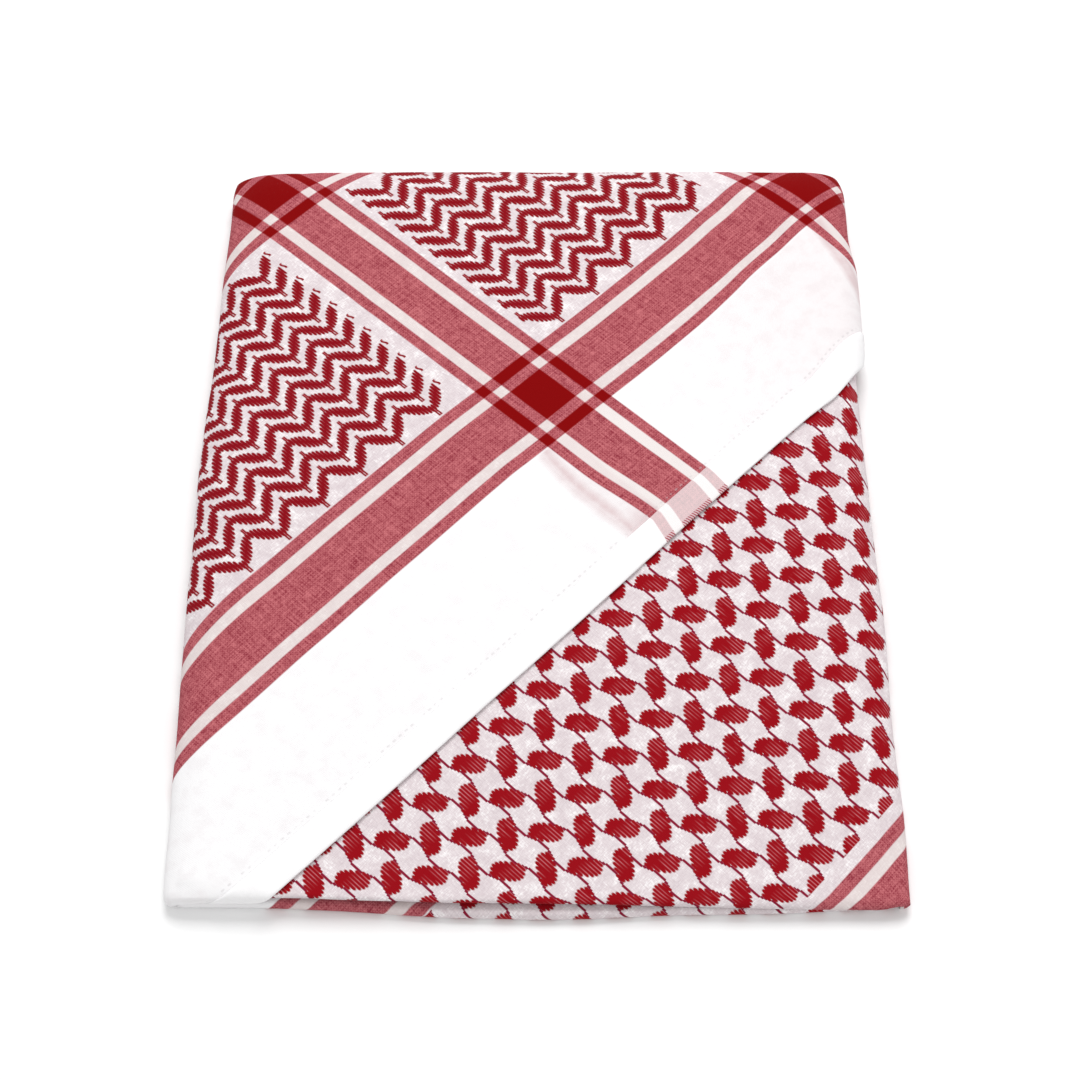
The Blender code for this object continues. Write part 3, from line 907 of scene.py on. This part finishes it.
def cloth_material(
    name, bands=True, leaves=True, net=True, margin=True, shades=False, pale=0.0, left_white=False,
    along=BANDS["along"], across=BANDS["across"], net_to=NET_TO,
):
    """The scarf's cloth: what the pattern holds at each place of its UV map, with the weave's relief."""
    made = bpy.data.materials.new(name)
    made.use_nodes = True
    tree = made.node_tree
    g = Graph(tree)
    shader = tree.nodes["Principled BSDF"]
    uv = g.add("ShaderNodeUVMap", uv_map="cloth").outputs[0]
    s, t = g.parts(uv)
    weave = g.group(groups()["weave"], Cloth=uv)
    color = ground_color(g, uv, t, weave, margin)
    if bands:
        color, either, crossing = band_color(g, color, s, t, weave, along, across)
    if shades:
        # The ply below showing through the margin, painted shade over the margin's back right, and the hem's
        # stitches
        color = show_through_and_shade(g, color, s, t, weave, either)
        color = stitch_color(g, color, weave)
    if leaves:
        color = leaf_color(g, color, uv)
    if net:
        zone = 1.0
        if bands:
            zone = g.times(g.below(t, net_to[0], 0.02), g.below(s, net_to[1], 0.02))
        color = net_color(g, color, uv, zone)
    if left_white:
        color = g.blend(g.over_limit(t, PLY_WHITE_FROM, 0.04), color, paint("margin"))
    if pale:
        # A second ply behind it makes the hem's cloth whiter
        color = g.blend(pale, color, paint("hem"))
        color = oversewn_color(g, color, crossing)
    g.feed(shader.inputs["Base Color"], color)
    shader.inputs["Roughness"].default_value = 0.85
    shader.inputs["Sheen Weight"].default_value = 0.02
    shader.inputs["Sheen Roughness"].default_value = 0.5
    shader.inputs["Specular IOR Level"].default_value = 0.04
    bump = g.add("ShaderNodeBump")
    bump.inputs["Strength"].default_value = 0.35
    bump.inputs["Distance"].default_value = 0.12 * MM
    g.feed(bump.inputs["Height"], g.plus(weave["Height"], g.times(weave["Slub"], 0.8)))
    g.feed(shader.inputs["Normal"], bump.outputs[0])
    return made


def finish_piece(piece, material, node):
    piece.data.materials.append(material)
    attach(piece, "root")
    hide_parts(node)


def mesh_area(piece):
    return sum(face.area for face in piece.data.polygons)


def inside_row(b):
    return min(WRAP.back, max(WRAP.front, b))


FLAP_FOLD = Fold(
    front=(3.6 * MM, 1.5 * MM), back=(1.1 * MM, 1.0 * MM), change=(-98 * MM, -84 * MM),
    front_in=1.0 * MM, left_in=1.7 * MM, back_in=1.9 * MM, corner_in=1.6 * MM,
    uneven=0.4 * MM, seed=2.0,
)
PANEL_FOLD = Fold(
    front=(0.9 * MM, 0.9 * MM), back=(1.0 * MM, 1.2 * MM),
    front_in=1.7 * MM, left_in=2.3 * MM, right_out=2.4 * MM, back_in=3.1 * MM, corner_in=2.2 * MM,
    uneven=0.4 * MM, seed=7.0,
)
# How far the cloth runs back under itself past an edge's fold
RETURN = 6 * MM

# Runs of soft folds on each stretch: from, to, half width and height, in metres of the laid cloth
FLAP_CREASES = Creases(
    [
        ((-0.020, 0.022), (0.040, -0.040), 0.0050, 0.00035),
        ((-0.128, -0.120), (-0.070, -0.060), 0.0060, -0.00030),
        ((-0.126, -0.030), (-0.085, 0.040), 0.0070, 0.00035),
        ((-0.120, 0.060), (-0.060, 0.090), 0.0060, -0.00030),
        ((-0.060, -0.100), (0.010, -0.030), 0.0050, -0.00025),
        ((0.060, 0.140), (0.118, 0.060), 0.0050, 0.00030),
        ((-0.010, 0.150), (0.010, 0.090), 0.0070, 0.00030),
        ((-0.090, 0.152), (-0.070, 0.110), 0.0050, -0.00025),
        ((-0.119, WRAP.front + 0.0060), (-0.099, WRAP.front + 0.0052), 0.0017, -0.00095),
        ((-0.116, WRAP.front + 0.0095), (-0.104, WRAP.front + 0.0090), 0.0022, 0.00030),
    ],
    rumple=0.32 * MM, scale=24, seed=1.0,
)
PANEL_CREASES = Creases(
    [
        ((-0.060, -0.140), (0.020, -0.120), 0.0050, -0.00030),
        ((0.020, -0.080), (0.110, -0.030), 0.0060, 0.00030),
        ((0.060, -0.150), (0.090, -0.100), 0.0050, 0.00030),
        ((0.110, -0.090), (0.128, -0.010), 0.0050, -0.00030),
        ((0.070, 0.020), (0.120, 0.045), 0.0060, 0.00025),
        ((0.000, 0.120), (0.060, 0.152), 0.0060, 0.00030),
    ],
    rumple=0.38 * MM, scale=30, seed=4.0,
)


def flap_place(a, b, up=0.0):
    """A point of the flap's cloth on the bundle, raised by this much from its face."""
    inside = (b - WRAP.front - a + HEM_AT_FRONT) / math.sqrt(2)
    a, b = drawn(a, b)
    fitted = WRAP.fitted(a, inside_row(b))
    own = ease(inside / HEM_SETTLES)
    lift = mix(PANEL_CREASES.lift(a, b) - HEM_DOWN, FLAP_CREASES.lift(a, b), own)
    # Near its end the flap stands a little off the right side
    row = WRAP.row(inside_row(b))
    loose = ease((fitted - row.level[1]) / (row.widest[1] - row.level[1]))
    loose *= 1 - ease((fitted - row.widest[1]) / (row.foot[1] - FOOT_END - row.widest[1]))
    loose *= ease((LOOSE_TO - b) / LOOSE_FADES) * ease((b - LOOSE_FROM) / LOOSE_GROWS)
    level = -WRAP.right_shift(fitted, inside_row(b)) - lift - up - FLAP_LOOSE * loose
    return FLAP_FOLD.place(fitted, b, level)


def flap_cloth(a, b):
    a, b = drawn(a, b)
    s, t = FLAP_LAID.cloth(WRAP.fitted(a, inside_row(b)), b)
    t += BAND_SAG * ease((t - 0.6) / 0.5) * ease((s - 4.5) / 3)
    shift = BAND_DRAWN * ease((t - 2.6) / 2.4) * clamp((1.2 - s) / 1.8)
    return s - mix(shift, HEM_SLANT, clamp((t - HEM_FROM) / 0.95)), t


def thread_color(name, description, value):
    return bpy.props.FloatVectorProperty(
        name=name, description=description, default=(*value, 1), size=4, min=0, max=1, subtype="COLOR",
    )


class ClothColours(bpy.types.PropertyGroup):
    """Colours of the threads, as seen in soft light."""

    white: thread_color("White", "White threads of the patterned cloth", (0.775, 0.71, 0.72))
    dusk: thread_color("Thin white", "White cloth where it is thinner", (0.62, 0.54, 0.56))
    close: thread_color("Close white", "White cloth where it is closer woven", (0.88, 0.86, 0.86))
    fibre: thread_color("Fibre", "Single darker fibres in the white", (0.50, 0.42, 0.45))
    margin: thread_color("Margin", "The plain margin", (0.838, 0.828, 0.836))
    hem: thread_color("Hem", "The white of the turned hem", (0.90, 0.895, 0.90))
    cream: thread_color("Cream", "White between a band's stripes", (0.68, 0.59, 0.565))
    stripe_dark: thread_color("Stripe, dark", "Red threads of the stripes", (0.235, 0.026, 0.042))
    stripe_light: thread_color("Stripe, light", "White threads in the stripes", (0.53, 0.155, 0.170))
    crossing: thread_color("Crossing", "Red where two stripes cross", (0.205, 0.001, 0.0015))
    leaf: thread_color("Leaf", "The zigzag leaves", (0.222, 0.003, 0.008))
    oval: thread_color("Oval", "The net's ovals", (0.275, 0.0035, 0.008))
    thread: thread_color("Joining thread", "The net's thin threads", (0.22, 0.008, 0.030))
    gap: thread_color("Gap", "Ground seen between long stitches", (0.58, 0.20, 0.225))
    # Also the colour of the painted shade laid over the margin towards the back right
    shade: thread_color("Show-through", "The ply below the margin", (0.60, 0.45, 0.46))
    stitch: thread_color("Stitches", "The stitches beside the hem", (0.50, 0.47, 0.48))
    oversewing: thread_color("Oversewing", "Red thread over the hem's edge", (0.33, 0.02, 0.045))


class ClothSizes(bpy.types.PropertyGroup):
    """Sizes of the cloth that a user would change."""

    cell: bpy.props.FloatProperty(
        name="Cell", description="Size of the mesh cells on the open cloth",
        default=2.2 * MM, min=0.5 * MM, subtype="DISTANCE", unit="LENGTH",
    )
    ply: bpy.props.FloatProperty(
        name="Ply", description="Thickness of one ply of the cloth",
        default=0.4 * MM, min=0.1 * MM, subtype="DISTANCE", unit="LENGTH",
    )


class HEADSCARF_OT_top_flap(bpy.types.Operator):
    """Lay the outer flap, from the floor on the left over the top to its hem"""

    bl_idname = "headscarf.top_flap"
    bl_label = "Outer flap"

    def execute(self, context):
        sizes = context.scene.headscarf
        past = math.pi * max(FLAP_FOLD.front) + RETURN
        columns = fine_columns(MIDDLE_ROW.foot[0], MIDDLE_ROW.foot[1] - FOOT_END, sizes.cell)
        rows = fine_rows(WRAP.front - past, WRAP.back + past, sizes.cell)
        cuts = [hem_cut(0.4 * MM)]
        flap = make_cloth("top_flap_cloth", columns, rows, flap_place, flap_cloth, cuts, from_hem)
        add_wall(flap, sizes.ply)
        finish_piece(flap, cloth_material("flap_weave", shades=True), "top_flap")
        return {"FINISHED"}


class HEADSCARF_OT_flap_hem(bpy.types.Operator):
    """Turn the outer flap's hem up on to its face"""

    bl_idname = "headscarf.flap_hem"
    bl_label = "Turned hem"

    def execute(self, context):
        across = Vector((1, -1, 0)).normalized()
        along = Vector((1, 1, 0)).normalized()
        start = Vector((HEM_AT_FRONT, WRAP.front, 0))
        length = (MIDDLE_ROW.foot[1] - FOOT_END - HEM_AT_FRONT) * math.sqrt(2)
        # Across the hem: from its inner edge, over its face, and round the fold to the back
        profile = [(-10.95, 0.00), (-10.8, 0.26), (-10.4, 0.36), (-9.5, 0.40), (-7, 0.42)]
        profile += [(-4.5, 0.42), (-2.5, 0.44), (-1.0, 0.42), (-0.3, 0.30)]
        profile += [(0.0, 0.05), (-0.1, -0.25), (-0.5, -0.45), (-2.0, -0.5)]
        offs = [off * MM for off, up in profile]
        ups = [up * MM for off, up in profile]
        steps = [float(at) for at in range(len(profile))]

        def flat(run, at):
            wander = 0.25 * MM * noise.noise(Vector((run * 45, 0, 3)))
            share = clamp(-read(steps, offs, at) / HEM_WIDTH)
            point = start + along * run + across * (read(steps, offs, at) + wander * (0.4 + share))
            return point.x, point.y

        def place(run, at):
            a, b = flat(run, at)
            pucker = 0.10 * MM * noise.noise(Vector((run * 160, at * 0.3, 8)))
            return flap_place(a, b, read(steps, ups, at) + pucker)

        def cloth(run, at):
            return flap_cloth(*flat(run, at))

        def from_edge(run, at):
            return Vector((run, -read(steps, offs, at), 0)) / MM

        runs = spread(-9 * MM, length, 230)
        hem = make_cloth("flap_hem_cloth", runs, steps, place, cloth, hem=from_edge)
        area = mesh_area(hem)
        add_wall(hem, 0.22 * MM)
        look = cloth_material("hem_weave", leaves=False, net=False, pale=0.48)
        finish_piece(hem, look, "flap_hem")
        area = min(area, 0.016 * length)
        return {"FINISHED"}


class HEADSCARF_OT_lower_panel(bpy.types.Operator):
    """Lay the turn under the flap, down to the floor on the right"""

    bl_idname = "headscarf.lower_panel"
    bl_label = "Lower panel"

    def execute(self, context):
        sizes = context.scene.headscarf
        past = math.pi * max(PANEL_FOLD.back) + RETURN
        columns = fine_columns(MIDDLE_ROW.level[0] + 4 * MM, MIDDLE_ROW.foot[1], sizes.cell)
        rows = fine_rows(WRAP.front - past, WRAP.back + past, sizes.cell)

        def place(a, b):
            fitted = WRAP.fitted(a, inside_row(b))
            level = LAYER - WRAP.right_shift(fitted, inside_row(b)) - PANEL_CREASES.lift(a, b)
            return PANEL_FOLD.place(fitted, b, level)

        def cloth(a, b):
            return PANEL_LAID.cloth(WRAP.fitted(a, inside_row(b)), b)

        panel = make_cloth("lower_panel_cloth", columns, rows, place, cloth)
        add_wall(panel, sizes.ply)
        look = cloth_material("panel_weave", **PANEL_LOOK)
        finish_piece(panel, look, "lower_panel")
        return {"FINISHED"}


# The inner turn's fold at the front: how far forward it comes and how high it stands, from left to
# right, and where the middle of its band crosses it
PLY_BAND_AT = -61.7 * MM
PLY_X = [-124.5, -110, -88, -60, -30, 0, 20, 50, 80, 110, 123]
PLY_AT = [-152.9, -153.2, -153.7, -154.8, -156.4, -157.4, -157.2, -156.0, -154.8, -153.8, -153.5]
PLY_HIGH = [4.4, 4.5, 4.5, 4.3, 4.2, 4.0, 3.8, 3.5, 3.2, 3.0, 2.8]


class HEADSCARF_OT_front_ply(bpy.types.Operator):
    """Lay the fold of an inner turn that looks out at the front"""

    bl_idname = "headscarf.front_ply"
    bl_label = "Front ply"

    def execute(self, context):
        places = [x * MM for x in PLY_X]
        fronts = [y * MM for y in PLY_AT]
        highs = [z * MM for z in PLY_HIGH]
        columns = spread(places[0], places[-1], 110)
        # Round the fold: the upper leg, the round and the lower leg
        turns = spread(-1.0, 2.0, 26)

        def place(x, turn):
            end = min(x - places[0], places[-1] - x)
            shut = math.sqrt(1 - (1 - clamp(end / (3.5 * MM))) ** 2)
            high = read(places, highs, x) * mix(0.45, 1.0, shut)
            front = read(places, fronts, x) + (1 - shut) * 1.5 * MM
            front += 0.25 * MM * noise.noise(Vector((x * 30, 0, 9)))
            half = high / 2
            depth = min(half, 1.6 * MM)
            if turn < 0:
                return Vector((x, front + depth - turn * 5 * MM, 0.3 * MM + high - turn * 0.2 * MM))
            if turn > 1:
                return Vector((x, front + depth + (turn - 1) * 5 * MM, 0.3 * MM))
            angle = math.pi * turn
            sag = 0.35 * MM * math.sin(angle) * math.sin(x * 55)
            y = front + depth * (1 - math.sin(angle)) + sag
            return Vector((x, y, 0.3 * MM + half * (1 + math.cos(angle))))

        def cloth(x, turn):
            drop = turn * 7 * MM
            across = (x - PLY_BAND_AT + drop * 0.8) / (PITCH * math.sqrt(2))
            along = (x - drop * 0.8) / (PITCH * math.sqrt(2))
            return along - 9.0, BANDS["along"][1] - across

        ply = make_cloth("front_ply_cloth", columns, turns, place, cloth)
        add_wall(ply, 0.4 * MM)
        look = cloth_material("ply_weave", leaves=False, left_white=True)
        finish_piece(ply, look, "front_ply")
        return {"FINISHED"}


UNDER_X = (-0.1215, 0.1225)
UNDER_Y = (-0.152, 0.1535)


class HEADSCARF_OT_under_panel(bpy.types.Operator):
    """Lay the stretch that the bundle lies on"""

    bl_idname = "headscarf.under_panel"
    bl_label = "Under panel"

    def execute(self, context):
        columns = spread(UNDER_X[0], UNDER_X[1], 70)
        rows = spread(UNDER_Y[0], UNDER_Y[1], 90)

        def place(x, y):
            ripple = 0.10 * MM * noise.noise(Vector((x * 30, y * 30, 2)))
            return Vector((x, y, 0.65 * MM + ripple))

        def cloth(x, y):
            return FLAP_LAID.cloth(MIDDLE_ROW.foot[0] - (x - UNDER_X[0]), y)

        under = make_cloth("under_panel_cloth", columns, rows, place, cloth)
        add_wall(under, 0.5 * MM)
        finish_piece(under, cloth_material("under_weave"), "under_panel")
        return {"FINISHED"}


# Folded edges at the back, from the lowest up: how far each stays in, and its share of the height
LOBES = ((1.6, 0.17), (0.6, 0.21), (2.3, 0.15), (1.1, 0.19), (0.5, 0.15), (2.0, 0.13))


class HEADSCARF_OT_hidden_folds(bpy.types.Operator):
    """Fill the bundle with the turns inside it, which show as folded edges at the back"""

    bl_idname = "headscarf.hidden_folds"
    bl_label = "Hidden folds"

    def execute(self, context):
        columns = spread(MIDDLE_ROW.level[0] - 10 * MM, MIDDLE_ROW.level[1] + 9 * MM, 96)
        top_rows = spread(WRAP.front + 12 * MM, WRAP.back - 9 * MM, 60)
        # Points round each folded edge, and rows along the bottom
        bend, bottom = 7, 20
        count = len(top_rows) + len(LOBES) * bend + bottom

        def top(a, b):
            """Two layers under the topmost face, or nearer to it where the panels don't reach."""
            fitted = WRAP.fitted(a, b)
            point, along, normal = WRAP.frame(fitted, b)
            nearer = WRAP.left_shift(fitted, b) + WRAP.right_shift(fitted, b)
            return point - normal * (2 * LAYER - nearer)

        def border(a, index):
            """Share of the height that a folded edge reaches, wandering but for the top one's."""
            share = sum(lobe[1] for lobe in LOBES[:index + 1])
            if 0 <= index < len(LOBES) - 1:
                share += 0.04 * noise.noise(Vector((a * 18, index * 2.7, 1)))
            return clamp(share)

        def edge_fold(a, at, start):
            """A point of the stacked folded edges at the back, counted down from the top one."""
            high, low = start.z - 1.9 * MM, 1.5 * MM
            lobe, step = divmod(at, bend)
            index = len(LOBES) - 1 - lobe
            stay = (LOBES[index][0] + 1.1 * noise.noise(Vector((a * 26, index * 5.0, 6)))) * MM
            upper, lower = mix(low, high, border(a, index)), mix(low, high, border(a, index - 1))
            radius = (upper - lower) / 2
            angle = math.pi * step / (bend - 1)
            back = BACK - 2.9 * MM - max(0.1 * MM, stay) - radius
            side = clamp(min(a - columns[0], columns[-1] - a) / (6 * MM))
            back -= 5 * MM * (1 - math.sqrt(1 - (1 - side) ** 2)) + 2.0 * MM * ease(from_back_left(a))
            inwards = 3.0 * MM * (1 - math.sin(angle)) ** 3
            y = back + radius * math.sin(angle) - inwards
            return Vector((start.x, y, lower + radius * (1 + math.cos(angle))))

        def place(a, at):
            at = int(round(at))
            if at < len(top_rows):
                return top(a, top_rows[at])
            start = top(a, top_rows[-1])
            at -= len(top_rows)
            if at < len(LOBES) * bend:
                return edge_fold(a, at, start)
            at -= len(LOBES) * bend
            y = mix(BACK - 7 * MM, FRONT + 10 * MM, (at + 1) / bottom)
            return Vector((start.x, y, 1.5 * MM))

        def cloth(a, at):
            across = a / PITCH / math.sqrt(2)
            return across + at * 0.12, at * 0.12 - across

        rows = [float(at) for at in range(count)]
        folds = make_cloth("hidden_folds_cloth", columns, rows, place, cloth)
        add_wall(folds, 0.4 * MM)
        look = cloth_material("fold_weave", bands=False, leaves=False)
        finish_piece(folds, look, "hidden_folds")
        return {"FINISHED"}


class HEADSCARF_OT_stage(bpy.types.Operator):
    """Set the floor, the soft light and the camera"""

    bl_idname = "headscarf.stage"
    bl_label = "Stage"

    def execute(self, context):
        scene = context.scene
        bm = bmesh.new()
        bmesh.ops.create_grid(bm, x_segments=1, y_segments=1, size=3.0)
        mesh = bpy.data.meshes.new("floor")
        bm.to_mesh(mesh)
        bm.free()
        floor = bpy.data.objects.new("floor", mesh)
        scene.collection.objects.link(floor)
        made = bpy.data.materials.new("floor_white")
        made.use_nodes = True
        shader = made.node_tree.nodes["Principled BSDF"]
        shader.inputs["Base Color"].default_value = FLOOR_COLOR
        shader.inputs["Roughness"].default_value = 0.9
        shader.inputs["Specular IOR Level"].default_value = 0.0
        mesh.materials.append(made)

        world = bpy.data.worlds.new("studio")
        world.use_nodes = True
        background = world.node_tree.nodes["Background"]
        background.inputs["Color"].default_value = (1, 1, 1, 1)
        background.inputs["Strength"].default_value = WORLD_LIGHT
        scene.world = world
        for name, place, size, power in LIGHTS:
            light = bpy.data.lights.new(name, "AREA")
            light.size = size
            light.energy = power
            lamp = bpy.data.objects.new(name, light)
            lamp.location = place
            lamp.rotation_euler = (-Vector(place)).to_track_quat("-Z", "Y").to_euler()
            scene.collection.objects.link(lamp)

        camera = bpy.data.cameras.new("camera")
        camera.lens = LENS
        camera.sensor_width = 36
        holder = bpy.data.objects.new("camera", camera)
        holder.location = (CAMERA_X, CAMERA_Y, CAMERA_Z)
        holder.rotation_euler = (math.pi / 2 - LOOK_DOWN, 0, 0)
        scene.collection.objects.link(holder)
        scene.camera = holder
        scene.view_settings.view_transform = "Standard"
        return {"FINISHED"}


class HEADSCARF_PT_panel(bpy.types.Panel):
    """The headscarf's pieces in the sidebar"""

    bl_label = "Folded headscarf"
    bl_space_type = "VIEW_3D"
    bl_region_type = "UI"
    bl_category = "Headscarf"

    def draw(self, context):
        for group in (context.scene.headscarf, context.scene.headscarf_colours):
            for key in type(group).__annotations__:
                self.layout.prop(group, key)
        for operator in OPERATORS:
            self.layout.operator(operator.bl_idname)


OPERATORS = (
    HEADSCARF_OT_stage,
    HEADSCARF_OT_under_panel,
    HEADSCARF_OT_hidden_folds,
    HEADSCARF_OT_front_ply,
    HEADSCARF_OT_lower_panel,
    HEADSCARF_OT_top_flap,
    HEADSCARF_OT_flap_hem,
)
CLASSES = (ClothSizes, ClothColours, *OPERATORS, HEADSCARF_PT_panel)


def register():
    for item in CLASSES:
        bpy.utils.register_class(item)
    bpy.types.Scene.headscarf = bpy.props.PointerProperty(type=ClothSizes)
    bpy.types.Scene.headscarf_colours = bpy.props.PointerProperty(type=ClothColours)


def unregister():
    del bpy.types.Scene.headscarf_colours
    del bpy.types.Scene.headscarf
    for item in reversed(CLASSES):
        bpy.utils.unregister_class(item)


def main():
    register()
    bpy.ops.headscarf.stage()
    bpy.ops.headscarf.under_panel()
    bpy.ops.headscarf.hidden_folds()
    bpy.ops.headscarf.front_ply()
    bpy.ops.headscarf.lower_panel()
    bpy.ops.headscarf.top_flap()
    bpy.ops.headscarf.flap_hem()


if __name__ == "__main__":
    main()
